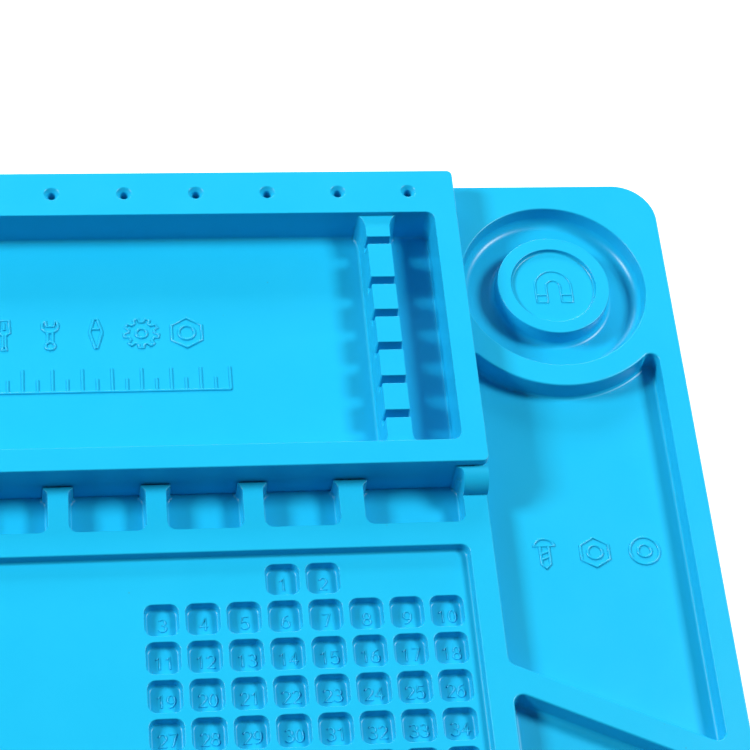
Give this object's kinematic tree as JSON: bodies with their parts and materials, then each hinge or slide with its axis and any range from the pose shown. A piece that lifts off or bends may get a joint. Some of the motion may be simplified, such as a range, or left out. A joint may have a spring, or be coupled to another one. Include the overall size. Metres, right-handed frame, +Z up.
{
  "type": "parts sorting tray",
  "caption": "Soft silicone work mat with pockets, a cell grid and a round magnetic dish, and a raised slotted tool tray that lifts out.",
  "frame": {"origin": "middle of the mat's outline, on its underside", "axes": "+X to the right along the long side, +Y towards the back edge where the tool tray sits, +Z up"},
  "size_m": [0.45, 0.3, 0.0213],
  "materials": {
    "silicone": "satin moulded silicone",
    "ferrite": "dull sintered ferrite"
  },
  "bodies": {
    "mat": {"base_mat": "silicone", "magnet": "ferrite", "magnet_plug": "silicone"},
    "tray": {"tool_tray": "silicone"}
  },
  "joints": [
    {"name": "tray_lift", "type": "slide", "parent": "mat", "child": "tray", "axis": [0, 0, 1], "range_m": [0, 0.06]}
  ]
}
